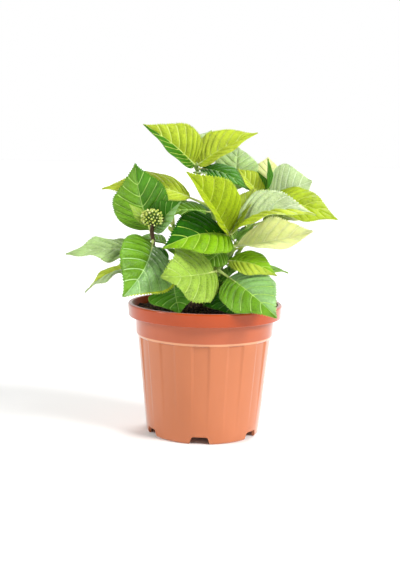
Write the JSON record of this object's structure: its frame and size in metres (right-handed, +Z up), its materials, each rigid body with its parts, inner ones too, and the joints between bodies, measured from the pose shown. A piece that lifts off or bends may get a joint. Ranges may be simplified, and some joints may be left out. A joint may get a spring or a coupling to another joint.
{
  "type": "potted hydrangea shrub",
  "caption": "Young leafy hydrangea shrub with broad toothed leaves and a flower head in bud, growing in a round moulded nursery pot filled with potting mix.",
  "frame": {"origin": "centre of the pot's underside, on the surface it stands on", "axes": "+Z up along the pot's axis; -Y is the side that shows the flower head and most leaves; +X is to its right"},
  "size_m": [0.2905, 0.2061, 0.3406],
  "materials": {
    "pot_plastic": "satin, terracotta-coloured injection moulding",
    "potting_mix": "loose, matte, dark brown",
    "stem": "green-brown young stem",
    "leaf": "soft leaf, slightly glossy"
  },
  "bodies": {
    "root": {"pot": "pot_plastic", "soil": "potting_mix", "trunk": "stem", "bough_left": "stem", "foliage_left": "leaf", "bough_top": "stem", "foliage_top": "leaf", "bough_centre": "stem", "foliage_centre": "leaf", "bough_right": "stem", "foliage_right": "leaf", "bough_low": "stem", "foliage_low": "leaf", "bough_back": "stem", "foliage_back": "leaf", "bough_rear_left": "stem", "foliage_rear_left": "leaf", "bough_rear_right": "stem", "foliage_rear_right": "leaf"}
  },
  "joints": []
}
